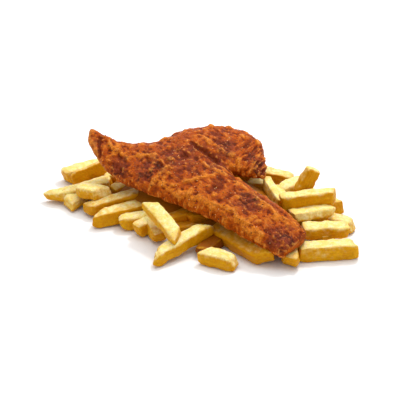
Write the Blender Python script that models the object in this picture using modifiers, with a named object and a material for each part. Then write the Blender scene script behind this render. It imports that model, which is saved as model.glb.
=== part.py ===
"""Fish and chips: one fried, spiced fish fillet lying on a loose heap of thick-cut chips.

The fillet is one piece with a curled tail and two lobes.  The chips lie in two or three
uneven layers and form one solid.  X runs along the heap, Y away from the front, Z is up,
and the heap rests on z = 0.  The rows below are in millimetres.
"""
import math

import bmesh
import bpy
from mathutils import Matrix, Vector

MM = 0.001
OBJECT_NAME = "fish_and_chips"

# The rows are laid out round the middle of the fillet; this shift centres the whole heap.
SHIFT = Vector((3, -21, 0))

# Fillet ------------------------------------------------------------------------------
SECTION_POINTS = 16
SECTION_SQUARENESS = 0.62
FISH_SUBDIVISION = 1
FISH_CLEARANCE = 0.5
CAGE_GAIN = 1.06

# Stations of the fillet's middle surface, from the tail to the blunt end of the long lobe:
# front edge x y z, back edge x y z, thickness, camber, depth of the valley along the top.
LONG_LOBE = [
    (-106, 57, 56, -105, 70, 65, 5, 0, 0),
    (-100, 49, 47, -95, 69, 60, 8, 1, 2),
    (-90, 34, 38, -81, 63, 54, 11, 2, 2),
    (-76, 20, 34, -61, 61, 51, 14, 3, 1),
    (-56, 5, 32, -39, 66, 50, 17, 4, 0),
    (-33, -11, 31, -12, 76, 53, 19, 5, 0),
    (-11, -24, 30, 13, 48, 47, 19, 5, 1),
    (9, -41, 28, 33, 8, 39, 18, 5, 2),
    (27, -57, 25, 54, -11, 34, 17, 5, 4),
    (44, -70, 21, 71, -29, 29, 16, 5, 5),
    (59, -82, 17, 85, -44, 25, 15, 4, 5),
    (67, -87, 15, 94, -58, 21, 14, 3, 3),
]
SHORT_LOBE = [
    (-46, 30, 42, -38, 64, 51, 12, 2, 0),
    (-26, 22, 44, -22, 81, 56, 16, 4, 0),
    (2, 18, 44, 6, 88, 58, 17, 5, 0),
    (26, 22, 42, 29, 87, 57, 17, 4, 2),
    (46, 25, 37, 45, 84, 54, 15, 3, 2),
    (61, 29, 32, 54, 76, 48, 12, 2, 0),
]
VALLEY_PLACE = 0.05
VALLEY_WIDTH = 0.3

# How the blunt end of each lobe is rounded: push past the last ring, size of the end ring.
LONG_END = (0.45, 0.84)
SHORT_END = (0.25, 0.92)

# The edge of the fillet swells and draws in: waves per ring, size and phase.
EDGE_WAVES = [(2.3, 0.020, 0.7), (4.1, 0.014, 2.0)]

# Chips -------------------------------------------------------------------------------
CHIP_CORNER = 2.2
TAPER_LENGTH = 8

# Each chip: middle of the near end x y z, middle of the far end x y z, width, thickness,
# roll in degrees, how far each end is cut on the slant, and how much each end narrows.
LEFT_CHIPS = [
    (-136, 84, 8, -96, 110, 8, 17, 15, 0, 0, 0, 0.9, 1.0),
    (-126, 69, 9, -94, 87, 15, 18, 8, 70, 0, 0, 0.6, 1.0),
    (-146, 40, 6, -88, 49, 17, 14, 11, 0, -6, 0, 0.7, 0.9),
    (-92, 21, 20, -117, 37, 18, 18, 12, 0, 5, 0, 1.0, 0.5),
    (-127, 26, 6, -103, 56, 10, 18, 10, 0, 3, 0, 0.9, 1.0),
    (-108, 12, 7, -55, 25, 18, 15, 12, 0, -4, 2, 0.9, 0.8),
    (-98, -7, 7, -56, 8, 11, 16, 14, 0, 4, 0, 0.7, 0.9),
    (-75, -13, 7, -42, -7, 9, 15, 14, 0, 0, 0, 0.7, 1.0),
    (-59, -28, 7, -34, -8, 9, 14, 14, 0, 0, 0, 0.95, 1.0),
    (-36, -43, 7, -46, -12, 10, 15, 12, 0, 0, 0, 0.8, 1.0),
    (-46, -22, 31, -22, -68, 17, 14, 11, 12, 4, 11, 0.95, 0.95),
    (-41, -80, 6, 9, -37, 16, 14, 13, 0, 5, -3, 0.5, 0.6),
    (-96, 80, 7, -66, 84, 10, 14, 12, 0, 0, 0, 1.0, 1.0),
    (-84, 40, 12, -58, 54, 16, 14, 12, 0, 0, 0, 1.0, 1.0),
    (-118, 52, 6, -88, 74, 8, 14, 12, 0, 0, 3, 0.9, 1.0),
]
FRONT_CHIPS = [
    (-30, -20, 13, 0, -12, 17, 14, 12, 0, 0, 0, 0.9, 1.0),
    (-11, -22, 16, 16, -12, 15, 14, 12, 0, 0, 0, 0.7, 1.0),
    (-24, -29, 8, 4, -24, 8, 14, 12, 0, 0, 0, 0.9, 1.0),
    (1, -66, 5, 19, -38, 5, 14, 10, 0, 0, 0, 1.0, 1.0),
    (2, -71, 6.5, 31, -86, 6.5, 17, 13, 0, 3, 0, 0.8, 0.7),
    (14, -29, 9, 58, -82, 7.5, 16, 14, 22, 0, 5, 1.0, 0.8),
    (79, -86, 7, 79, -50, 7, 15, 13, 0, 3, 0, 0.8, 1.0),
]
RIGHT_CHIPS = [
    (86, -69, 7.5, 138, -62, 7.5, 15, 15, 0, 0, -2, 0.9, 0.9),
    (92, -41, 14, 134, -37, 13, 16, 12, 0, 0, 0, 1.0, 0.95),
    (141, -20, 7, 108, -4, 8, 15, 13, 0, 0, 0, 0.9, 1.0),
    (84, -26, 21, 121, -14, 22, 19, 9, -10, 0, 0, 1.0, 0.7),
    (74, -11, 28, 125, -4, 30, 14, 15, 0, 0, 3, 0.9, 0.95),
    (95, 9, 28, 106, 12, 51, 12, 15, 0, 0, 0, 0.9, 0.95),
    (58, 69, 18, 92, 61, 15, 15, 12, 0, 0, 0, 1.0, 0.8),
    (77, 22, 22, 100, 46, 20, 15, 13, 0, 0, 0, 0.7, 1.0),
    (63, 34, 26, 75, -2, 20, 9, 14, 0, 0, 0, 1.0, 1.0),
    (48, 44, 18, 70, 36, 20, 14, 12, 0, 0, 0, 1.0, 0.9),
    (70, 30, 20, 82, 4, 18, 12, 12, 0, 0, 0, 1.0, 1.0),
    (100, 50, 7, 130, 16, 7, 14, 14, 0, 0, 4, 0.9, 1.0),
    (86, -12, 7, 108, 32, 7, 14, 14, 0, 0, 0, 1.0, 0.9),
    (112, -22, 14, 100, 22, 20, 14, 13, 0, 0, 0, 1.0, 0.9),
    (124, -58, 6, 104, -16, 6, 14, 12, 0, 0, 0, 1.0, 1.0),
]
BACK_CHIPS = [
    (-94, 100, 7, -48, 113, 7, 15, 14, 0, 0, 3, 0.9, 0.9),
    (-60, 92, 7, -26, 124, 7, 14, 14, 0, 0, 0, 1.0, 0.9),
    (-16, 126, 7, 34, 119, 7, 15, 13, 0, 5, 0, 0.6, 0.95),
    (5, 96, 7, 16, 130, 7, 14, 14, 0, 0, 3, 1.0, 0.9),
    (38, 123, 7, 62, 88, 7, 15, 14, 0, 0, 0, 0.8, 1.0),
    (-42, 98, 8, 4, 105, 8, 14, 14, 0, 0, 0, 1.0, 1.0),
    (27, 100, 7, 70, 82, 7, 14, 13, 0, 0, 0, 1.0, 0.9),
    (-86, 84, 19, -42, 99, 21, 15, 13, 0, 4, 0, 0.8, 1.0),
    (-40, 99, 21, 6, 113, 20, 14, 13, 0, 0, -4, 1.0, 0.8),
    (-8, 92, 22, 20, 116, 17, 14, 13, 0, 0, 0, 1.0, 0.9),
    (12, 106, 21, 56, 92, 20, 15, 13, 0, 0, 0, 0.9, 0.9),
    (46, 66, 22, 60, 88, 14, 14, 12, 0, 0, 0, 1.0, 0.9),
    (-62, 76, 32, -16, 94, 34, 14, 13, 0, 0, 0, 0.8, 1.0),
    (-14, 99, 33, 32, 91, 35, 15, 13, 0, 3, 0, 0.9, 0.9),
    (10, 80, 36, 50, 84, 34, 14, 13, 0, 0, 0, 1.0, 0.8),
]

# Mound under the chips ------------------------------------------------------------------
CORE_SEGMENTS = 28
CORE_CENTRE = (0, 28)
CORE_HALF_SIZE = (108, 66)
CORE_TURN = -22
CORE_PEAK_SHIFT = (6, 26)
CORE_RINGS = [(1.0, -3), (0.96, 6), (0.76, 17), (0.5, 28), (0.26, 36), (0.1, 39)]
CORE_WAVES = [(3, 0.05, 0.4), (5, 0.04, 1.9)]

FLOOR_SLAB = 500
FLOOR_DEPTH = 30


def clear_scene():
    for thing in list(bpy.data.objects):
        bpy.data.objects.remove(thing, do_unlink=True)


def new_collection(name):
    collection = bpy.data.collections.new(name)
    bpy.context.scene.collection.children.link(collection)
    return collection


def make_material(name, colour, roughness):
    material = bpy.data.materials.new(name)
    material.use_nodes = True
    shader = material.node_tree.nodes["Principled BSDF"]
    shader.inputs["Base Color"].default_value = (*colour, 1.0)
    shader.inputs["Roughness"].default_value = roughness
    shader.inputs["Metallic"].default_value = 0.0
    return material


def mesh_object(name, mesh_bm, collection):
    bmesh.ops.recalc_face_normals(mesh_bm, faces=mesh_bm.faces)
    mesh = bpy.data.meshes.new(name)
    mesh_bm.to_mesh(mesh)
    mesh_bm.free()
    thing = bpy.data.objects.new(name, mesh)
    collection.objects.link(thing)
    return thing


def as_cutter(thing):
    thing.hide_render = True
    thing.display_type = "WIRE"


def placed(point):
    """A point of the layout, in millimetres, as a place in the scene, in metres."""
    return (point + SHIFT) * MM


def loft(rings):
    """Join closed rings of equal length into one closed skin."""
    skin = bmesh.new()
    loops = [[skin.verts.new(point) for point in ring] for ring in rings]
    count = len(rings[0])
    for near, far in zip(loops, loops[1:]):
        for i in range(count):
            j = (i + 1) % count
            skin.faces.new((near[i], near[j], far[j], far[i]))
    skin.faces.new(loops[0][::-1])
    skin.faces.new(loops[-1])
    return skin


# Fillet ---------------------------------------------------------------------------------
def fillet_section(station, number, along, grow):
    """One cross-section: flat-sided, crowned on top, between its front and back edges."""
    front = Vector(station[0:3])
    back = Vector(station[3:6])
    thickness = station[6] * CAGE_GAIN + 2 * grow
    camber, valley = station[7:9]
    across = (back - front) / 2
    half_width = across.length * CAGE_GAIN + grow
    across.normalize()
    up = across.cross(along).normalized()
    if up.z < 0:
        up.negate()
    middle = (front + back) / 2
    swell = 1 + sum(size * math.sin(rate * number + phase) for rate, size, phase in EDGE_WAVES)
    ring = []
    for i in range(SECTION_POINTS):
        angle = math.tau * i / SECTION_POINTS
        side = math.cos(angle)
        rise = math.copysign(abs(math.sin(angle)) ** SECTION_SQUARENESS, math.sin(angle))
        lift = rise * thickness / 2 + camber * (1 - side * side)
        if rise > 0:
            lift -= valley * math.exp(-((side - VALLEY_PLACE) / VALLEY_WIDTH) ** 2)
        ring.append(middle + across * side * half_width * swell + up * lift)
    return ring


def fillet_lobe(stations, rounding, grow=0.0):
    middles = [(Vector(s[0:3]) + Vector(s[3:6])) / 2 for s in stations]
    rings = []
    for i, station in enumerate(stations):
        before = middles[max(i - 1, 0)]
        after = middles[min(i + 1, len(stations) - 1)]
        along = (after - before).normalized()
        ring = fillet_section(station, i, along, grow)
        if i == 0:
            rings.append(end_ring(ring, middles[i], -along, station[6], LONG_END, grow))
        rings.append(ring)
        if i == len(stations) - 1:
            rings.append(end_ring(ring, middles[i], along, station[6], rounding, grow))
    return [[placed(point) for point in ring] for ring in rings]


def end_ring(ring, middle, outward, thickness, rounding, grow):
    """A smaller ring past the last one, which rounds the end of the lobe."""
    push = outward * (thickness * rounding[0] + grow)
    return [middle + (point - middle) * rounding[1] + push for point in ring]


def fillet_object(name, stations, rounding, collection, grow=0.0):
    lobe = mesh_object(name, loft(fillet_lobe(stations, rounding, grow)), collection)
    smooth = lobe.modifiers.new("soft", "SUBSURF")
    smooth.levels = FISH_SUBDIVISION
    smooth.render_levels = FISH_SUBDIVISION
    return lobe


def make_fish(parts, helpers):
    fish = fillet_object("fish", LONG_LOBE, LONG_END, parts)
    short_lobe = fillet_object("short_lobe", SHORT_LOBE, SHORT_END, helpers)
    as_cutter(short_lobe)
    join = fish.modifiers.new("lobes", "BOOLEAN")
    join.operation = "UNION"
    join.object = short_lobe
    fish.data.materials.append(make_material("fried_crust", (0.42, 0.12, 0.025), 0.55))
    fish.data.shade_smooth()
    return fish


# Chips ----------------------------------------------------------------------------------
def chip_frame(row):
    """The chip's near end, axis, side and top directions, and its length."""
    near = Vector(row[0:3])
    axis = Vector(row[3:6]) - near
    length = axis.length
    axis.normalize()
    side = Vector((-axis.y, axis.x, 0)).normalized()
    turn = Matrix.Rotation(math.radians(row[8]), 3, axis)
    side = turn @ side
    return near, axis, side, axis.cross(side), length


def chip_section(width, thickness, scale):
    """Eight corners of a bar whose long edges are slightly rounded."""
    half_w = width / 2
    half_t = thickness / 2
    cut_w = half_w - CHIP_CORNER
    cut_t = half_t - CHIP_CORNER
    corners = [
        (half_w, cut_t), (cut_w, half_t), (-cut_w, half_t), (-half_w, cut_t),
        (-half_w, -cut_t), (-cut_w, -half_t), (cut_w, -half_t), (half_w, -cut_t),
    ]
    return [(a * scale, b * scale) for a, b in corners]


def chip_rings(row):
    """Rings along a chip; an end that narrows has a second ring where the taper starts."""
    near, axis, side, top, length = chip_frame(row)
    width, thickness = row[6], row[7]
    near_slant, far_slant, near_scale, far_scale = row[9:13]
    places = [(0, near_slant, near_scale), (length, far_slant, far_scale)]
    if far_scale < 1:
        places.insert(1, (length - TAPER_LENGTH, far_slant, 1))
    if near_scale < 1:
        places.insert(1, (TAPER_LENGTH, near_slant, 1))
    rings = []
    for along, slant, scale in places:
        ring = []
        for a, b in chip_section(width, thickness, scale):
            shift = along + 2 * slant * a / width
            ring.append(placed(near + axis * shift + side * a + top * b))
        rings.append(ring)
    return rings


def make_core(parts):
    """The mound under the chips, flat below, with an uneven outline."""
    turn = math.radians(CORE_TURN)
    peak = CORE_PEAK_SHIFT
    core = bmesh.new()
    loops = []
    for scale, height in CORE_RINGS:
        loop = []
        for i in range(CORE_SEGMENTS):
            angle = math.tau * i / CORE_SEGMENTS
            reach = scale * (1 + sum(a * math.sin(n * angle + p) for n, a, p in CORE_WAVES))
            x = CORE_HALF_SIZE[0] * reach * math.cos(angle)
            y = CORE_HALF_SIZE[1] * reach * math.sin(angle)
            place = Vector((
                CORE_CENTRE[0] + x * math.cos(turn) - y * math.sin(turn) + peak[0] * (1 - scale),
                CORE_CENTRE[1] + x * math.sin(turn) + y * math.cos(turn) + peak[1] * (1 - scale),
                height,
            ))
            loop.append(core.verts.new(placed(place)))
        loops.append(loop)
    for lower, upper in zip(loops, loops[1:]):
        for i in range(CORE_SEGMENTS):
            j = (i + 1) % CORE_SEGMENTS
            core.faces.new((lower[i], lower[j], upper[j], upper[i]))
    core.faces.new(loops[0][::-1])
    core.faces.new(loops[-1])
    return mesh_object("chip_heap", core, parts)


def make_floor_cutter(clearances):
    """A slab below z = 0 that gives the heap and its lowest chips one flat underside."""
    slab = bmesh.new()
    sizes = (FLOOR_SLAB * MM, FLOOR_SLAB * MM, FLOOR_DEPTH * MM)
    bmesh.ops.create_cube(slab, size=1, matrix=Matrix.LocRotScale((0, 0, -sizes[2] / 2), None, sizes))
    as_cutter(mesh_object("floor_cut", slab, clearances))


def make_chip_heap(parts, helpers, chips, clearances):
    heap = make_core(parts)
    for number, row in enumerate(LEFT_CHIPS + FRONT_CHIPS + RIGHT_CHIPS + BACK_CHIPS):
        chip = mesh_object(f"chip_{number:02d}", loft(chip_rings(row)), chips)
        as_cutter(chip)
    gather = heap.modifiers.new("chips", "BOOLEAN")
    gather.operation = "UNION"
    gather.operand_type = "COLLECTION"
    gather.collection = chips
    rooms = (("long_lobe_room", LONG_LOBE, LONG_END), ("short_lobe_room", SHORT_LOBE, SHORT_END))
    for name, stations, rounding in rooms:
        as_cutter(fillet_object(name, stations, rounding, clearances, FISH_CLEARANCE))
    make_floor_cutter(clearances)
    clear = heap.modifiers.new("fish_room", "BOOLEAN")
    clear.operation = "DIFFERENCE"
    clear.operand_type = "COLLECTION"
    clear.collection = clearances
    heap.data.materials.append(make_material("chip_potato", (0.80, 0.52, 0.10), 0.5))
    return heap


def main():
    clear_scene()
    parts = new_collection(OBJECT_NAME)
    helpers = new_collection("helpers")
    chips = new_collection("chips")
    clearances = new_collection("clearances")
    make_fish(parts, helpers)
    make_chip_heap(parts, helpers, chips, clearances)


main()
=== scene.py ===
"""Fish and chips: the looks.  The fillet gets its fried, spiced crust; the heap becomes single
thick-cut chips over a smaller core.  Rows are in millimetres, everything built is in metres."""

import math
import random

import bmesh
import bpy
import numpy as np
from mathutils import Matrix, Vector, noise


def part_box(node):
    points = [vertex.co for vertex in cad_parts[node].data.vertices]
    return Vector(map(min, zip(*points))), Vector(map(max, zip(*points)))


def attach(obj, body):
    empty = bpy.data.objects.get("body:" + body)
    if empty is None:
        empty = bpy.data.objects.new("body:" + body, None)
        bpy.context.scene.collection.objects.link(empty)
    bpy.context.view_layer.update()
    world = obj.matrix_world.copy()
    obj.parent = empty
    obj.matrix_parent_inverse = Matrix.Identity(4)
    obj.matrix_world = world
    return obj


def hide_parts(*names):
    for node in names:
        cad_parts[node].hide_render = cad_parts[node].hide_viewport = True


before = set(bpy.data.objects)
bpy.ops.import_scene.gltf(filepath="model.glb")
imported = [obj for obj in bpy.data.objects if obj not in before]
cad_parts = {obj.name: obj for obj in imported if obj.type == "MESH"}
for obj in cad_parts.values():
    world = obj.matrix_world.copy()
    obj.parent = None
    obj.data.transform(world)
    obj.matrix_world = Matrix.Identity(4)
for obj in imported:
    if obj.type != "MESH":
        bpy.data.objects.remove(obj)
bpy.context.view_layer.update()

MM = 0.001
SHIFT = Vector((3, -21, 0))

# Each chip: middle of the near end x y z, middle of the far end x y z, width, thickness,
# roll in degrees, how far each end is cut on the slant, and how much each end narrows.
LEFT_CHIPS = [
    (-136, 84, 8, -96, 110, 8, 17, 15, 0, 0, 0, 0.9, 1.0),
    (-126, 69, 9, -94, 87, 15, 18, 8, 70, 0, 0, 0.6, 1.0),
    (-146, 40, 6, -88, 49, 17, 14, 11, 0, -6, 0, 0.7, 0.9),
    (-92, 21, 20, -117, 37, 18, 18, 12, 0, 5, 0, 1.0, 0.5),
    (-127, 26, 6, -103, 56, 10, 18, 10, 0, 3, 0, 0.9, 1.0),
    (-108, 12, 7, -55, 25, 18, 15, 12, 0, -4, 2, 0.9, 0.8),
    (-98, -7, 7, -56, 8, 11, 16, 14, 0, 4, 0, 0.7, 0.9),
    (-75, -13, 7, -42, -7, 9, 15, 14, 0, 0, 0, 0.7, 1.0),
    (-59, -28, 7, -34, -8, 9, 14, 14, 0, 0, 0, 0.95, 1.0),
    (-36, -43, 7, -46, -12, 10, 15, 12, 0, 0, 0, 0.8, 1.0),
    (-46, -22, 31, -19, -63, 18.5, 14, 11, 12, 4, -11, 0.95, 0.9),
    (-41, -80, 6, 9, -37, 16, 14, 13, 0, 5, -3, 0.5, 0.4),
    (-96, 80, 7, -66, 84, 10, 14, 12, 0, 0, 0, 1.0, 1.0),
    (-84, 40, 12, -58, 54, 16, 14, 12, 0, 0, 0, 1.0, 1.0),
    (-118, 52, 6, -88, 74, 8, 14, 12, 0, 0, 3, 0.9, 1.0),
]
FRONT_CHIPS = [
    (-30, -20, 13, 0, -12, 17, 14, 12, 0, 0, 0, 0.9, 1.0),
    (-11, -22, 16, 16, -12, 15, 14, 12, 0, 0, 0, 0.7, 1.0),
    (-24, -29, 8, 4, -24, 8, 14, 12, 0, 0, 0, 0.9, 1.0),
    (1, -66, 5, 19, -38, 5, 14, 10, 0, 0, 0, 1.0, 1.0),
    (2, -71, 6.5, 31, -86, 6.5, 17, 13, 0, 3, 0, 0.8, 0.7),
    (14, -29, 9, 58, -82, 7.5, 16, 14, 22, 0, 5, 1.0, 0.8),
    (79, -86, 7, 79, -50, 7, 15, 13, 0, 3, 0, 0.8, 1.0),
]
RIGHT_CHIPS = [
    (86, -69, 7.5, 138, -62, 7.5, 15, 15, 0, 0, -2, 0.9, 0.9),
    (92, -41, 14, 134, -37, 13, 16, 12, 0, 0, 0, 1.0, 0.95),
    (141, -20, 7, 108, -4, 8, 15, 13, 0, 0, 0, 0.9, 1.0),
    (84, -26, 21, 121, -14, 22, 19, 9, -10, 0, 0, 1.0, 0.7),
    (74, -11, 28, 125, -4, 30, 14, 15, 0, 0, 3, 0.9, 0.95),
    (95, 9, 28, 106, 12, 51, 12, 15, 0, 0, 0, 0.9, 0.95),
    (58, 69, 18, 92, 61, 15, 15, 12, 0, 0, 0, 1.0, 0.8),
    (77, 22, 22, 100, 46, 20, 15, 13, 0, 0, 0, 0.7, 1.0),
    (63, 34, 26, 75, -2, 20, 9, 14, 0, 0, 0, 1.0, 1.0),
    (48, 44, 18, 70, 36, 20, 14, 12, 0, 0, 0, 1.0, 0.9),
    (70, 30, 20, 82, 4, 18, 12, 12, 0, 0, 0, 1.0, 1.0),
    (100, 50, 7, 130, 16, 7, 14, 14, 0, 0, 4, 0.9, 1.0),
    (86, -12, 7, 108, 32, 7, 14, 14, 0, 0, 0, 1.0, 0.9),
    (112, -22, 14, 100, 22, 20, 14, 13, 0, 0, 0, 1.0, 0.9),
    (116, -46, 6, 104, -16, 6, 14, 12, 0, 0, 0, 1.0, 1.0),
]
BACK_CHIPS = [
    (-94, 100, 7, -48, 113, 7, 15, 14, 0, 0, 3, 0.9, 0.9),
    (-60, 92, 7, -26, 124, 7, 14, 14, 0, 0, 0, 1.0, 0.9),
    (-16, 126, 7, 34, 119, 7, 15, 13, 0, 5, 0, 0.6, 0.95),
    (5, 96, 7, 16, 130, 7, 14, 14, 0, 0, 3, 1.0, 0.9),
    (38, 123, 7, 62, 88, 7, 15, 14, 0, 0, 0, 0.8, 1.0),
    (-42, 98, 8, 4, 105, 8, 14, 14, 0, 0, 0, 1.0, 1.0),
    (27, 100, 7, 70, 82, 7, 14, 13, 0, 0, 0, 1.0, 0.9),
    (-86, 84, 19, -42, 99, 21, 15, 13, 0, 4, 0, 0.8, 1.0),
    (-40, 99, 21, 6, 113, 20, 14, 13, 0, 0, -4, 1.0, 0.8),
    (-8, 92, 22, 20, 116, 17, 14, 13, 0, 0, 0, 1.0, 0.9),
    (12, 106, 21, 56, 92, 20, 15, 13, 0, 0, 0, 0.9, 0.9),
    (46, 66, 22, 60, 88, 14, 14, 12, 0, 0, 0, 1.0, 0.9),
    (-62, 76, 32, -16, 94, 34, 14, 13, 0, 0, 0, 0.8, 1.0),
    (-14, 99, 33, 32, 91, 35, 15, 13, 0, 3, 0, 0.9, 0.9),
    (10, 80, 36, 50, 84, 34, 14, 13, 0, 0, 0, 1.0, 0.8),
]

# How dark each chip is coloured. Up to 1 it is the fry tone: 0 keeps the pale painted top light, 1 is deep
# gold all round. Above 1 is painted shade, dark gold for chips in the fillet's shadow.
LEFT_TONES = (0.2, 0.9, 0.1, 0.3, 0.15, 0.8, 0.8, 0.35, 0.5, 0.75, 0.35, 0.5, 0.5, 0.8, 0.6)
FRONT_TONES_AND_SHADE = (1.3, 1.3, 1.3, 2.2, 0.4, 1.1, 0.7)
RIGHT_TONES = (0.3, 0.3, 0.35, 0.0, 0.5, 0.6, 0.7, 0.1, 0.0, 0.5, 0.5, 0.5, 0.5, 0.4, 0.4)
BACK_TONES = (0.3, 0.5, 0.2, 0.4, 0.3, 0.6, 0.5, 0.2, 0.4, 0.6, 0.3, 0.5, 0.1, 0.3, 0.5)

CHIP_CORNER = 2.5
CUT_STEP = 6.0

# Camera and light
CAMERA_AIM = Vector((3, -21, 24)) * MM
CAMERA_RISE = math.radians(27)
CAMERA_DISTANCE = 1.033
CAMERA_LENS = 100


# Small helpers ---------------------------------------------------------------------------
def only(thing):
    bpy.ops.object.select_all(action="DESELECT")
    thing.select_set(True)
    bpy.context.view_layer.objects.active = thing


def finish_modifier(thing, kind, **settings):
    only(thing)
    modifier = thing.modifiers.new(kind.lower(), kind)
    for name, value in settings.items():
        setattr(modifier, name, value)
    bpy.ops.object.modifier_apply(modifier=modifier.name)


def coordinates(thing):
    flat = np.empty(len(thing.data.vertices) * 3)
    thing.data.vertices.foreach_get("co", flat)
    return flat.reshape(-1, 3)


def normals(thing):
    flat = np.empty(len(thing.data.vertices) * 3)
    thing.data.vertices.foreach_get("normal", flat)
    return flat.reshape(-1, 3)


def move_points(thing, places):
    thing.data.vertices.foreach_set("co", np.asarray(places).ravel())
    thing.data.update()


def point_attribute(thing, name, values, kind="FLOAT"):
    layer = thing.data.attributes.new(name, kind, "POINT")
    field = "value" if kind == "FLOAT" else "vector"
    layer.data.foreach_set(field, np.asarray(values, dtype=np.float32).ravel())


def smoothstep(low, high, value):
    t = np.clip((value - low) / (high - low), 0, 1)
    return t * t * (3 - 2 * t)


# Materials -------------------------------------------------------------------------------
class Nodes:
    """A few words for wiring a material's nodes."""

    def __init__(self, name):
        self.material = bpy.data.materials.new(name)
        self.material.use_nodes = True
        self.tree = self.material.node_tree
        self.shader = self.tree.nodes["Principled BSDF"]

    def add(self, kind, **settings):
        node = self.tree.nodes.new("ShaderNode" + kind)
        for name, value in settings.items():
            setattr(node, name, value)
        return node

    def link(self, source, target):
        self.tree.links.new(source, target)

    def attribute(self, name, output="Fac"):
        return self.add("Attribute", attribute_name=name).outputs[output]

    def noise(self, vector, scale, detail=3.0, roughness=0.5, distortion=0.0):
        node = self.add("TexNoise")
        self.link(vector, node.inputs["Vector"])
        node.inputs["Scale"].default_value = scale
        node.inputs["Detail"].default_value = detail
        node.inputs["Roughness"].default_value = roughness
        node.inputs["Distortion"].default_value = distortion
        return node.outputs["Fac"]

    def ramp(self, value, low, high, start=0.0, end=1.0):
        node = self.add("MapRange", interpolation_type="SMOOTHSTEP")
        self.link(value, node.inputs["Value"])
        node.inputs["From Min"].default_value = low
        node.inputs["From Max"].default_value = high
        node.inputs["To Min"].default_value = start
        node.inputs["To Max"].default_value = end
        return node.outputs["Result"]

    def math(self, operation, first, second):
        node = self.add("Math", operation=operation)
        for place, value in enumerate((first, second)):
            if isinstance(value, (int, float)):
                node.inputs[place].default_value = value
            else:
                self.link(value, node.inputs[place])
        return node.outputs[0]

    def mix(self, factor, first, second, blend="MIX"):
        node = self.add("Mix", data_type="RGBA", blend_type=blend)
        self.put(factor, node.inputs[0])
        self.put(first, node.inputs[6])
        self.put(second, node.inputs[7])
        return node.outputs[2]

    def put(self, value, socket):
        if isinstance(value, tuple):
            socket.default_value = (*value, 1.0)
        elif isinstance(value, (int, float)):
            socket.default_value = value
        else:
            self.link(value, socket)

    def stretched(self, vector, factors):
        node = self.add("Mapping")
        self.link(vector, node.inputs["Vector"])
        node.inputs["Scale"].default_value = factors
        return node.outputs["Vector"]

    def bump(self, height, distance, strength=1.0, under=None):
        node = self.add("Bump")
        node.inputs["Strength"].default_value = strength
        node.inputs["Distance"].default_value = distance
        self.link(height, node.inputs["Height"])
        if under is not None:
            self.link(under, node.inputs["Normal"])
        return node.outputs["Normal"]


def potato_material():
    n = Nodes("fried_potato")
    place = n.attribute("chip_place", "Vector")
    painted_top_light = n.attribute("chip_painted_top_light")
    rim = n.attribute("chip_rim")
    tone_and_shade = n.attribute("chip_tone_and_shade")
    streaks = n.noise(n.stretched(place, (80, 380, 380)), 1.0, 3.0, 0.6)
    mottle = n.noise(place, 210.0, 3.0, 0.55)
    cells = n.noise(place, 620.0, 2.0, 0.5)
    gold = n.mix(n.ramp(streaks, 0.3, 0.7), (0.64, 0.27, 0.001), (0.76, 0.40, 0.004))
    gold = n.mix(n.math("MULTIPLY", tone_and_shade, 0.45), gold, (0.54, 0.19, 0.001))
    # Tone above 1 mixes towards dark gold: painted shade for chips under the fillet and for the core.
    gold = n.mix(n.ramp(tone_and_shade, 1.0, 2.2), gold, (0.26, 0.070, 0.002))
    # Painted top light: faces that look up get a pale cream colour, as if lit from above; the mottle makes
    # its border ragged.
    top_light_colour = n.mix(n.ramp(mottle, 0.3, 0.7), (0.88, 0.66, 0.17), (0.92, 0.79, 0.40))
    ragged = n.math("ADD", painted_top_light, n.ramp(mottle, 0.25, 0.75, -0.16, 0.14))
    body = n.mix(n.ramp(ragged, 0.05, 0.95), gold, top_light_colour)
    fried_rim = n.math("MULTIPLY", rim, n.ramp(mottle, 0.35, 0.65, 0.1, 0.7))
    golden = n.mix(fried_rim, body, (0.80, 0.42, 0.006))
    grain = n.mix(n.ramp(cells, 0.35, 0.65), (0.93, 0.90, 0.85), (1.04, 1.04, 1.05))
    speckled = n.mix(1.0, golden, grain, "MULTIPLY")
    specks = n.ramp(n.noise(place, 800.0, 1.0, 0.4), 0.70, 0.76)
    dotted = n.mix(n.math("MULTIPLY", specks, 0.55), speckled, (0.42, 0.17, 0.02))
    n.link(dotted, n.shader.inputs["Base Color"])
    n.shader.inputs["Subsurface Weight"].default_value = 0.3
    n.shader.inputs["Subsurface Radius"].default_value = (1.0, 0.45, 0.06)
    n.shader.inputs["Subsurface Scale"].default_value = 0.003
    n.link(n.ramp(cells, 0.3, 0.7, 0.38, 0.62), n.shader.inputs["Roughness"])
    n.shader.inputs["Specular IOR Level"].default_value = 0.16
    n.shader.inputs["Specular Tint"].default_value = (1.0, 0.80, 0.40, 1.0)
    height = n.math("ADD", n.math("MULTIPLY", streaks, 0.9), n.math("MULTIPLY", cells, 0.6))
    n.link(n.bump(height, 0.0005, 0.8), n.shader.inputs["Normal"])
    return n.material


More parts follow.
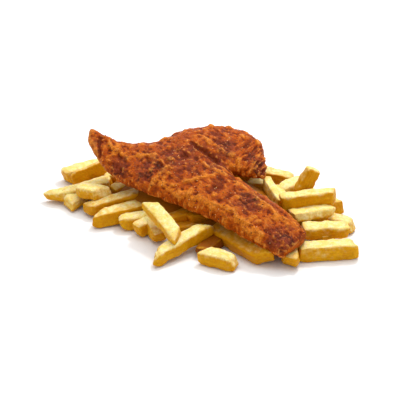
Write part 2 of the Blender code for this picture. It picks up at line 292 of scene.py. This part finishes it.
def crust_material():
    n = Nodes("fried_spiced_crust")
    place = n.add("TexCoord").outputs["Object"]
    relief = n.attribute("crust_height_shade_light")
    hollow_shade_ridge_light = n.attribute("crust_hollow_shade_ridge_light")
    burnt = n.attribute("crust_burnt")
    brown_with_sheen = n.attribute("crust_brown_and_sheen")
    edge = n.attribute("crust_edge")
    patch = n.noise(place, 190.0, 6.0, 0.68, 0.8)
    crumb = n.noise(place, 620.0, 5.0, 0.70, 0.5)
    # Painted shade and light by height: low places such as the crease are painted dark, raised places light.
    base = n.mix(n.ramp(relief, 0.08, 0.50), (0.20, 0.026, 0.002), (0.47, 0.078, 0.003))
    base = n.mix(n.ramp(relief, 0.48, 1.0), base, (0.67, 0.188, 0.012))
    base = n.mix(n.ramp(patch, 0.50, 0.66, 0.0, 0.65), base, (0.24, 0.027, 0.001))
    base = n.mix(n.ramp(patch, 0.46, 0.32, 0.0, 0.45), base, (0.78, 0.245, 0.024))
    side = n.math("MULTIPLY", edge, n.ramp(patch, 0.35, 0.6, 0.55, 0.15))
    base = n.mix(side, base, (0.52, 0.095, 0.001))
    # Brown patches: real browning, with a bluish tint that is a painted sheen.
    browned = n.math("MULTIPLY", brown_with_sheen, n.ramp(patch, 0.36, 0.56, 0.25, 0.85))
    base = n.mix(browned, base, (0.24, 0.040, 0.020))
    scorch = n.math("MULTIPLY", burnt, n.ramp(patch, 0.38, 0.52, 0.15, 1.0))
    base = n.mix(scorch, base, (0.035, 0.008, 0.005))
    # Painted shade in hollows and painted highlights on ridges.
    base = n.mix(n.ramp(hollow_shade_ridge_light, 0.0, 0.30, 0.75, 0.0), base, (0.13, 0.015, 0.001))
    base = n.mix(n.ramp(hollow_shade_ridge_light, 0.68, 1.0, 0.0, 0.50), base, (0.86, 0.32, 0.050))
    grain = n.mix(n.ramp(crumb, 0.40, 0.60), (0.78, 0.73, 0.68), (1.22, 1.25, 1.26))
    n.link(n.mix(1.0, base, grain, "MULTIPLY"), n.shader.inputs["Base Color"])
    n.link(n.ramp(crumb, 0.3, 0.7, 0.32, 0.10), n.shader.inputs["Roughness"])
    n.shader.inputs["IOR"].default_value = 1.16
    n.shader.inputs["Specular IOR Level"].default_value = 1.0
    n.shader.inputs["Specular Tint"].default_value = (1.0, 0.62, 0.38, 1.0)
    fine = n.bump(n.noise(place, 1500.0, 2.0, 0.5), 0.0006, 0.8)
    n.link(n.bump(crumb, 0.0011, 1.0, fine), n.shader.inputs["Normal"])
    return n.material


def spice_material(name, light, dark, roughness):
    n = Nodes(name)
    place = n.add("TexCoord").outputs["Object"]
    mottle = n.noise(place, 1200.0, 2.0, 0.5)
    n.link(n.mix(n.ramp(mottle, 0.35, 0.65), dark, light), n.shader.inputs["Base Color"])
    n.shader.inputs["Roughness"].default_value = roughness
    n.shader.inputs["Specular IOR Level"].default_value = 0.2
    n.shader.inputs["Specular Tint"].default_value = (1.0, 0.6, 0.4, 1.0)
    return n.material


def floor_material():
    n = Nodes("pale_floor")
    place = n.add("TexCoord").outputs["Object"]
    n.link(n.mix(n.noise(place, 3.0), (0.93, 0.93, 0.93), (0.95, 0.95, 0.95)), n.shader.inputs["Base Color"])
    n.shader.inputs["Roughness"].default_value = 0.7
    n.shader.inputs["Specular IOR Level"].default_value = 0.2
    return n.material


# Chips -----------------------------------------------------------------------------------
def select_points(thing, test):
    """In edit mode: select only the points that pass the test."""
    shape = bmesh.from_edit_mesh(thing.data)
    for point in shape.verts:
        point.select = test(point.co)
    shape.select_flush_mode()
    shape.select_flush(True)
    bmesh.update_edit_mesh(thing.data)


def cut_bar(length, width, thickness, slants, leans):
    """A bar along X with both ends cut on their slant and lean, and cross cuts along it."""
    bpy.ops.object.select_all(action="DESELECT")
    bpy.ops.mesh.primitive_cube_add(size=1, enter_editmode=True)
    reach = length + 2 * (abs(slants[0]) + abs(slants[1]) + thickness / 2)
    bpy.ops.transform.resize(value=(reach * MM, width * MM, thickness * MM))
    slopes = (2 * slants[0] / width, 2 * slants[1] / width)
    ends = ((-length / 2, (-1, slopes[0], leans[0])), (length / 2, (1, -slopes[1], -leans[1])))
    for place, outward in ends:
        bpy.ops.mesh.select_all(action="SELECT")
        bpy.ops.mesh.bisect(
            plane_co=(place * MM, 0, 0), plane_no=outward, use_fill=True, clear_outer=True
        )
    steps = max(4, round(length / CUT_STEP))
    for i in range(1, steps):
        share = i / steps
        slope = slopes[0] * (1 - share) + slopes[1] * share
        lean = leans[0] * (1 - share) + leans[1] * share
        bpy.ops.mesh.select_all(action="SELECT")
        bpy.ops.mesh.bisect(
            plane_co=((share - 0.5) * length * MM, 0, 0), plane_no=(1, -slope, -lean)
        )
    return bpy.context.object


def taper_end(thing, place, scale, slope, lean):
    """Narrow the end ring at place; the bar is full again one cut further in."""
    if scale >= 1:
        return
    select_points(thing, lambda p: abs(p.x - place - slope * p.y - lean * p.z) < 0.5 * MM)
    bpy.ops.transform.resize(value=(1, scale, scale), center_override=(place, 0, 0))


def make_chip(number, row, tone_and_shade, seed):
    rng = random.Random(seed * 100 + number)
    near = Vector(row[0:3])
    axis = Vector(row[3:6]) - near
    length = axis.length
    width, thickness, roll, near_slant, far_slant, near_scale, far_scale = row[6:13]
    leans = (rng.uniform(-0.35, 0.35), rng.uniform(-0.35, 0.35))
    chip = cut_bar(length, width, thickness, (near_slant, far_slant), leans)
    taper_end(chip, -length / 2 * MM, near_scale, 2 * near_slant / width, leans[0])
    taper_end(chip, length / 2 * MM, far_scale, 2 * far_slant / width, leans[1])
    bpy.ops.mesh.select_all(action="DESELECT")
    bpy.ops.mesh.select_mode(type="EDGE")
    bpy.ops.mesh.edges_select_sharp(sharpness=math.radians(35))
    corner = CHIP_CORNER * rng.uniform(0.8, 1.2) * min(1, thickness / 12)
    bpy.ops.mesh.bevel(offset=corner * MM, segments=2, profile=0.5, affect="EDGES")
    bpy.ops.mesh.select_mode(type="VERT")
    bpy.ops.object.mode_set(mode="OBJECT")
    finish_modifier(chip, "SUBSURF", levels=2, render_levels=2)
    bend = math.radians(rng.uniform(-10, 10))
    finish_modifier(chip, "SIMPLE_DEFORM", deform_method="BEND", deform_axis="Z", angle=bend)
    twist = math.radians(rng.uniform(-7, 7))
    finish_modifier(chip, "SIMPLE_DEFORM", deform_method="TWIST", deform_axis="X", angle=twist)
    local = coordinates(chip)
    sideways = np.abs(local[:, 1]) / (width / 2 * MM)
    upright = np.abs(local[:, 2]) / (thickness / 2 * MM)
    endways = np.abs(local[:, 0]) / (length / 2 * MM)
    ordered = np.sort(np.stack([sideways, upright, endways]), axis=0)
    point_attribute(chip, "chip_rim", smoothstep(0.74, 0.96, ordered[1]))
    point_attribute(chip, "chip_tone_and_shade", np.full(len(local), tone_and_shade))
    offset = np.array([rng.uniform(-1, 1) for _ in range(3)])
    point_attribute(chip, "chip_place", local + offset, "FLOAT_VECTOR")
    axis.normalize()
    side = Matrix.Rotation(math.radians(roll), 3, axis) @ Vector((-axis.y, axis.x, 0)).normalized()
    turn = Matrix((axis, side, axis.cross(side))).transposed().to_4x4()
    middle = (near + Vector(row[3:6])) / 2
    chip.matrix_world = Matrix.Translation((middle + SHIFT) * MM) @ turn
    only(chip)
    bpy.ops.object.transform_apply(location=True, rotation=True, scale=True)
    return chip


def make_chips(name, rows, tones_and_shade, seed, material):
    chips = [make_chip(number, row, tones_and_shade[number], seed) for number, row in enumerate(rows)]
    bpy.ops.object.select_all(action="DESELECT")
    for chip in chips:
        chip.select_set(True)
    bpy.context.view_layer.objects.active = chips[0]
    bpy.ops.object.join()
    heap = bpy.context.object
    heap.name = name
    heap.data.name = name
    rough_up(heap, "CLOUDS", 13, 3.0)
    rough_up(heap, "CLOUDS", 5, 1.2)
    rough_up(heap, "CLOUDS", 2, 0.25)
    places = coordinates(heap)
    places[:, 2] = np.maximum(places[:, 2], 0.0001)
    move_points(heap, places)
    paint_top_light(heap)
    heap.data.materials.clear()
    heap.data.materials.append(material)
    heap.data.shade_smooth()
    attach(heap, "root")
    return heap


def paint_top_light(heap):
    """Painted top light: faces that look up are painted paler, as if lit from above; sides and deeply fried
    chips stay gold.
    """
    tone_and_shade = np.empty(len(heap.data.vertices), dtype=np.float32)
    heap.data.attributes["chip_tone_and_shade"].data.foreach_get("value", tone_and_shade)
    upward = normals(heap)[:, 2]
    point_attribute(heap, "chip_painted_top_light", smoothstep(-0.1, 1.2, upward + 0.46 - 0.95 * tone_and_shade))


def rough_up(thing, kind, size_mm, strength_mm, **settings):
    texture = bpy.data.textures.new(f"{kind.lower()}_{size_mm}", kind)
    texture.noise_scale = size_mm * MM
    for name, value in settings.items():
        setattr(texture, name, value)
    finish_modifier(
        thing, "DISPLACE", texture=texture, texture_coords="LOCAL",
        strength=strength_mm * MM, mid_level=0.5,
    )


# Fillet ----------------------------------------------------------------------------------
CRUST_VOXEL = 0.00076

# Places on the fillet are shares of its box: 0 0 is the front left corner, 1 1 the back right.
# Darker patches: place along and across, reach in millimetres, how burnt, how brown; the brown holds a
# painted bluish sheen.
PATCHES = [
    (0.30, 0.60, 15, 1.0, 0.7),
    (0.15, 0.65, 11, 0.8, 0.6),
    (0.05, 0.80, 6, 0.6, 0.3),
    (0.45, 0.65, 22, 0.5, 0.8),
    (0.60, 0.60, 13, 0.3, 0.9),
    (0.65, 0.75, 14, 0.7, 0.7),
    (0.80, 0.70, 12, 0.7, 0.8),
    (0.75, 0.30, 14, 0.8, 0.9),
    (0.90, 0.05, 16, 0.8, 1.0),
]
# Folds: the points that each runs through, half width and height (a valley's is negative).
FOLDS = {
    "crease": (((0.50, 0.75), (0.60, 0.65), (0.70, 0.55)), 3.0, -2.6),
    "flap_rim": (((0.55, 0.80), (0.65, 0.70), (0.80, 0.65)), 3.0, 1.0),
    "lobe_front_rim": (((0.45, 0.40), (0.65, 0.25), (0.80, 0.05)), 3.2, 1.4),
    "lobe_back_rim": (((0.70, 0.45), (0.80, 0.30), (0.95, 0.15)), 3.0, 1.0),
    "lobe_valley": (((0.60, 0.40), (0.75, 0.25)), 3.2, -1.1),
    "body_ridge": (((0.55, 0.60), (0.65, 0.50)), 2.8, 1.3),
    "waist_ridge": (((0.30, 0.50), (0.40, 0.60)), 2.4, 1.3),
    "belly_ridge": (((0.40, 0.45), (0.60, 0.50)), 2.6, 1.3),
    "tail_ridge": (((0.10, 0.80), (0.20, 0.70), (0.30, 0.70)), 2.4, 1.3),
    "fin_hollow": (((0.05, 0.85), (0.05, 0.75)), 1.6, -1.4),
}
# Swellings at the back edge: place along and across, radius, height.
SWELLINGS = [(0.10, 0.90, 3, 1.0), (0.35, 0.90, 7, 1.0), (0.80, 0.85, 4, 2.0)]
SHORT_LOBE_CORNER = (0.80, 0.85)
CORNER_PULL = 3.5
# Seeded scatter on the top: how many, radii and heights in millimetres, seed.
BLISTERS = (30, (3.0, 4.5), (0.8, 1.5), 12)
HOLLOWS = (12, (3.0, 5.0), (-1.2, -0.6), 13)
# Columns of PATCHES that hold how burnt and how brown a patch is.
BURNT, BROWN = 3, 4
FACES_UP = 0.4
HOLLOW_BROWN = 0.3
WANDER = 2.2


def smooth_fillet():
    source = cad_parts["fish"]
    fillet = bpy.data.objects.new("fish_crust", source.data.copy())
    bpy.context.scene.collection.objects.link(fillet)
    only(fillet)
    bpy.ops.object.mode_set(mode="EDIT")
    bpy.ops.mesh.select_all(action="SELECT")
    bpy.ops.mesh.remove_doubles(threshold=0.00001)
    bpy.ops.object.mode_set(mode="OBJECT")
    finish_modifier(fillet, "REMESH", mode="VOXEL", voxel_size=CRUST_VOXEL)
    finish_modifier(fillet, "SMOOTH", factor=0.5, iterations=25)
    return fillet


def field(places, size_mm, octaves=2, seed=0.0):
    """Fractal noise at each place, about -1 to 1."""
    scale = 1 / (size_mm * MM)
    shift = Vector((seed, seed * 1.7, -seed * 0.6))
    return np.array([
        noise.fractal(Vector(p) * scale + shift, 0.9, 2.1, octaves) for p in places
    ])


def bubbles(places, size_mm, seed=0.0):
    """Rounded bumps, 1 at a bump's middle and 0 between bumps."""
    scale = 1 / (size_mm * MM)
    shift = Vector((seed, -seed, seed * 0.4))
    nearest = np.array([noise.voronoi(Vector(p) * scale + shift)[0][0] for p in places])
    return 1 - np.clip(nearest / 0.75, 0, 1) ** 1.5


def line_distance(x, y, line):
    """Distance in millimetres from each point to a line of joined points."""
    best = np.full(len(x), 1e9)
    for (ax, ay), (bx, by) in zip(line, line[1:]):
        dx, dy = bx - ax, by - ay
        t = np.clip(((x - ax) * dx + (y - ay) * dy) / (dx * dx + dy * dy), 0, 1)
        best = np.minimum(best, np.hypot(x - ax - t * dx, y - ay - t * dy))
    return best


def on_fish(along, across):
    """A place over the fillet, from shares of its box in the frame."""
    low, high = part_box("fish")
    return (
        (low.x + along * (high.x - low.x)) / MM - SHIFT.x,
        (low.y + across * (high.y - low.y)) / MM - SHIFT.y,
    )


def patches(x, y, ragged, column):
    """Ragged round patches, strongest in the middle; the column holds each one's strength."""
    strength = np.zeros(len(x))
    for row in PATCHES:
        centre_x, centre_y = on_fish(row[0], row[1])
        distance = np.hypot(x - centre_x, y - centre_y) / (row[2] * ragged)
        strength = np.maximum(strength, row[column] * smoothstep(1.25, 0.45, distance))
    return strength


def scattered(x, y, allowed, count, radii, heights, seed):
    """Rounded bumps or hollows at seeded places among the allowed points."""
    rng = random.Random(seed)
    choice = np.flatnonzero(allowed)
    total = np.zeros(len(x))
    for _ in range(count):
        index = int(choice[rng.randrange(len(choice))])
        away = np.hypot(x - x[index], y - y[index]) / rng.uniform(*radii)
        total += rng.uniform(*heights) * np.exp(-(away**4))
    return total


def height_over_surroundings(thing, rounds):
    """How far each point stands out from the smoothed surface near it."""
    count = len(thing.data.vertices)
    pairs = np.empty(len(thing.data.edges) * 2, dtype=np.int32)
    thing.data.edges.foreach_get("vertices", pairs)
    first, second = pairs[0::2], pairs[1::2]
    places = coordinates(thing)
    smooth = places.copy()
    share = np.bincount(pairs, minlength=count)
    for _ in range(rounds):
        for axis in range(3):
            total = np.bincount(first, smooth[second, axis], count)
            total += np.bincount(second, smooth[first, axis], count)
            smooth[:, axis] = total / share
    return np.einsum("ij,ij->i", places - smooth, normals(thing))


def zero_to_one(values):
    low, high = np.percentile(values, [3, 97])
    return np.clip((values - low) / (high - low), 0, 1)


def make_fillet():
    fillet = smooth_fillet()
    places = coordinates(fillet)
    outward = normals(fillet)
    layout = places / MM - np.array(SHIFT)
    x, y = layout[:, 0], layout[:, 1]
    top = smoothstep(-0.1, 0.35, outward[:, 2])
    side_face = smoothstep(0.8, 0.3, np.abs(outward[:, 2]))

    wander = np.stack([field(places, 14, 2, 20.0), field(places, 14, 2, 30.0)])
    wave_x, wave_y = x + WANDER * wander[0], y + WANDER * wander[1]
    folded = np.zeros(len(x))
    for line, half_width, height in FOLDS.values():
        route = [on_fish(along, across) for along, across in line]
        folded += height * np.exp(-((line_distance(wave_x, wave_y, route) / half_width) ** 2))
    for along, across, radius, height in SWELLINGS:
        centre_x, centre_y = on_fish(along, across)
        folded += height * np.exp(-((np.hypot(x - centre_x, y - centre_y) / radius) ** 4))
    ragged = 1 + 0.5 * field(places, 7, 3, 2.2)
    brown_with_sheen = patches(x, y, ragged, BROWN)
    faces_up = outward[:, 2] > FACES_UP
    browned = faces_up & (brown_with_sheen > HOLLOW_BROWN)
    folded += scattered(wave_x, wave_y, faces_up, *BLISTERS)
    folded += scattered(wave_x, wave_y, browned, *HOLLOWS)
    folded *= top

    fork = smoothstep(26, 40, x) * smoothstep(6, 16, y) * smoothstep(66, 50, y)
    lumps = field(places, 20, 2, 3.1)
    folds = field(places, 9, 2, 8.2)
    wrinkles = 1 - np.clip(np.abs(field(places, 13, 2, 15.0)) * 2.6, 0, 1)
    lengthwise = np.stack([x * 0.62 - y * 0.78, x * 0.78 + y * 0.62, layout[:, 2]], axis=1)
    lengthwise += 2.0 * np.stack([wander[0], wander[1], wander[0]], axis=1)
    ripples = field(lengthwise * np.array([0.4, 1.0, 0.8]) * MM, 3.4, 3, 17.0)
    turned = np.stack([x * 0.50 + y * 0.87, y * 0.50 - x * 0.87, layout[:, 2]], axis=1)
    turned += 1.5 * np.stack([wander[0], wander[1], wander[1]], axis=1)
    flakes = field(turned * np.array([0.22, 1.0, 0.6]) * MM, 3.4, 3, 4.4)
    bands = field(lengthwise * np.array([1.0, 0.2, 0.15]) * MM, 3.0, 2, 6.0)
    front_side = side_face * (1 - fork)
    blisters = bubbles(places, 4.6, 1.3)
    blister_patches = smoothstep(0.0, 0.5, field(places, 15, 2, 12.0))
    crumbs = bubbles(places, 2.2, 5.1)
    grain = field(places, 1.6, 2, 9.9)

    relief = (
        0.80 * folds * (1 - 0.4 * front_side)
        + 0.50 * (wrinkles - 0.35)
        + 0.70 * ripples * (1 - fork) * (1 - 0.6 * front_side)
        + 1.3 * flakes * fork
        + 0.65 * bands * front_side
        + 0.25 * (blisters - 0.4) * blister_patches
        + 0.15 * (crumbs - 0.4)
        + 0.16 * grain
    )
    relief = (relief - relief.mean()) * (0.35 + 0.65 * smoothstep(-101, -92, x))
    push = 0.8 * lumps + folded + relief + 0.9 * smoothstep(-94, -101, x)
    corner_x, corner_y = on_fish(*SHORT_LOBE_CORNER)
    corner = np.exp(-((x - corner_x) ** 2 + (y - corner_y) ** 2) / 90) * CORNER_PULL * MM
    square = np.stack([corner * 0.6, corner * 0.6, corner * 0.5], axis=1)
    move_points(fillet, places + outward * (push * MM)[:, None] + square)

    # Height for painted shade in low places and painted light on raised ones.
    point_attribute(fillet, "crust_height_shade_light", zero_to_one(relief + 0.8 * np.clip(folded, -2.2, 1.5)))
    # How far each point stands out, for painted shade in hollows and painted highlights on ridges.
    point_attribute(fillet, "crust_hollow_shade_ridge_light", zero_to_one(height_over_surroundings(fillet, 12)))
    broken = smoothstep(-0.15, 0.35, field(places, 6, 3, 7.7))
    point_attribute(fillet, "crust_burnt", patches(x, y, ragged, BURNT) * broken * top)
    point_attribute(fillet, "crust_brown_and_sheen", brown_with_sheen * top)
    point_attribute(fillet, "crust_edge", side_face)
    fillet.data.materials.clear()
    fillet.data.materials.append(crust_material())
    fillet.data.shade_smooth()
    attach(fillet, "root")
    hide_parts("fish")
    return fillet


def scatter_bits(name, fillet, count, sizes, flatness, seed, material, leftmost=-200):
    """Small flat bits pressed into the top of the crust, joined into one piece."""
    rng = random.Random(seed)
    places, outward = coordinates(fillet), normals(fillet)
    choice = np.flatnonzero((outward[:, 2] > 0.15) & (places[:, 0] > leftmost * MM))
    bpy.ops.object.select_all(action="DESELECT")
    bpy.ops.mesh.primitive_ico_sphere_add(subdivisions=1, radius=1)
    model = bpy.context.object
    bits = []
    for _ in range(count):
        index = int(choice[rng.randrange(len(choice))])
        size = rng.uniform(*sizes) * MM
        lie = Vector(outward[index]).to_track_quat("Z", "Y").to_matrix().to_4x4()
        shape = Matrix.Diagonal((size, size * rng.uniform(0.5, 0.9), size * flatness, 1))
        spin = Matrix.Rotation(rng.uniform(0, math.tau), 4, "Z")
        bit = bpy.data.objects.new(name, model.data.copy())
        bpy.context.scene.collection.objects.link(bit)
        place = Vector(places[index]) + Vector(outward[index]) * size * flatness * 0.3
        bit.matrix_world = Matrix.Translation(place) @ lie @ spin @ shape
        bits.append(bit)
    bpy.data.objects.remove(model, do_unlink=True)
    bpy.ops.object.select_all(action="DESELECT")
    for bit in bits:
        bit.select_set(True)
    bpy.context.view_layer.objects.active = bits[0]
    bpy.ops.object.join()
    joined = bpy.context.object
    bpy.ops.object.transform_apply(location=True, rotation=True, scale=True)
    joined.name = name
    joined.data.materials.clear()
    joined.data.materials.append(material)
    joined.data.shade_smooth()
    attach(joined, "root")
    return joined


# Core ------------------------------------------------------------------------------------
def make_core(material):
    """The hidden mound that the chips lie on, seen only as shade between them."""
    bpy.ops.object.select_all(action="DESELECT")
    bpy.ops.mesh.primitive_uv_sphere_add(segments=96, ring_count=48, radius=1)
    core = bpy.context.object
    core.name = "chip_core"
    core.data.name = "chip_core"
    low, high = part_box("chip_heap")
    middle = (low + high) / 2
    core.matrix_world = (
        Matrix.Translation((middle.x, middle.y + 0.008, 0.0003))
        @ Matrix.Rotation(math.radians(-22), 4, "Z")
        @ Matrix.Diagonal((0.094, 0.055, 0.030, 1))
    )
    only(core)
    bpy.ops.object.transform_apply(location=True, rotation=True, scale=True)
    bpy.ops.object.mode_set(mode="EDIT")
    bpy.ops.mesh.select_all(action="SELECT")
    bpy.ops.mesh.bisect(plane_co=(0, 0, 0.0003), plane_no=(0, 0, -1), use_fill=True, clear_outer=True)
    bpy.ops.object.mode_set(mode="OBJECT")
    places = coordinates(core)
    point_attribute(core, "chip_rim", np.zeros(len(places)))
    # Tone 1.8 colours the core dark gold: painted shade between the chips.
    point_attribute(core, "chip_tone_and_shade", np.full(len(places), 1.8))
    point_attribute(core, "chip_painted_top_light", np.zeros(len(places)))
    point_attribute(core, "chip_place", places, "FLOAT_VECTOR")
    core.data.materials.append(material)
    core.data.shade_smooth()
    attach(core, "root")
    return core


# Stage -----------------------------------------------------------------------------------
def add_light(name, size_x, size_y, power, place):
    data = bpy.data.lights.new(name, "AREA")
    data.shape = "RECTANGLE"
    data.size = size_x
    data.size_y = size_y
    data.energy = power
    light = bpy.data.objects.new(name, data)
    bpy.context.scene.collection.objects.link(light)
    light.location = place
    light.rotation_euler = (-light.location).to_track_quat("-Z", "Y").to_euler()


def make_stage():
    bpy.ops.mesh.primitive_plane_add(size=6)
    floor = bpy.context.object
    floor.name = "floor"
    floor.data.materials.append(floor_material())

    camera_data = bpy.data.cameras.new("camera")
    camera_data.lens = CAMERA_LENS
    camera_data.sensor_width = 36
    camera = bpy.data.objects.new("camera", camera_data)
    bpy.context.scene.collection.objects.link(camera)
    away = Vector((0, -math.cos(CAMERA_RISE), math.sin(CAMERA_RISE)))
    camera.location = CAMERA_AIM + away * CAMERA_DISTANCE
    camera.rotation_euler = (math.pi / 2 - CAMERA_RISE, 0, 0)
    bpy.context.scene.camera = camera

    add_light("softbox", 1.3, 1.0, 6.4, (0.05, 0.22, 0.90))
    add_light("small_light", 0.14, 0.14, 3.6, (0.28, 0.42, 0.82))

    world = bpy.data.worlds.new("studio")
    world.use_nodes = True
    world.node_tree.nodes["Background"].inputs["Color"].default_value = (1, 1, 1, 1)
    world.node_tree.nodes["Background"].inputs["Strength"].default_value = 0.62
    bpy.context.scene.world = world
    bpy.context.scene.view_settings.view_transform = "Standard"


def main():
    make_stage()
    potato = potato_material()
    left = make_chips("chips_left", LEFT_CHIPS, LEFT_TONES, 1, potato)
    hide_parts("chip_heap")
    make_chips("chips_front", FRONT_CHIPS, FRONT_TONES_AND_SHADE, 2, potato)
    make_chips("chips_right", RIGHT_CHIPS, RIGHT_TONES, 3, potato)
    make_chips("chips_back", BACK_CHIPS, BACK_TONES, 4, potato)
    make_core(potato)
    fillet = make_fillet()
    pepper = spice_material("dark_spice", (0.06, 0.022, 0.012), (0.02, 0.008, 0.006), 0.6)
    paprika = spice_material("red_spice", (0.36, 0.050, 0.010), (0.20, 0.020, 0.008), 0.5)
    # Pale spice bits, bright enough to stand for oily glints: partly painted highlights.
    pale_bits_and_glints = spice_material("pale_spice_and_glint", (0.92, 0.56, 0.26), (0.74, 0.32, 0.09), 0.3)
    scatter_bits("pepper_flakes", fillet, 150, (0.4, 0.9), 0.5, 5, pepper)
    scatter_bits("red_flakes", fillet, 110, (0.5, 1.2), 0.35, 6, paprika)
    scatter_bits("pale_flakes_and_glints", fillet, 75, (0.4, 0.8), 0.5, 7, pale_bits_and_glints, -35)


main()
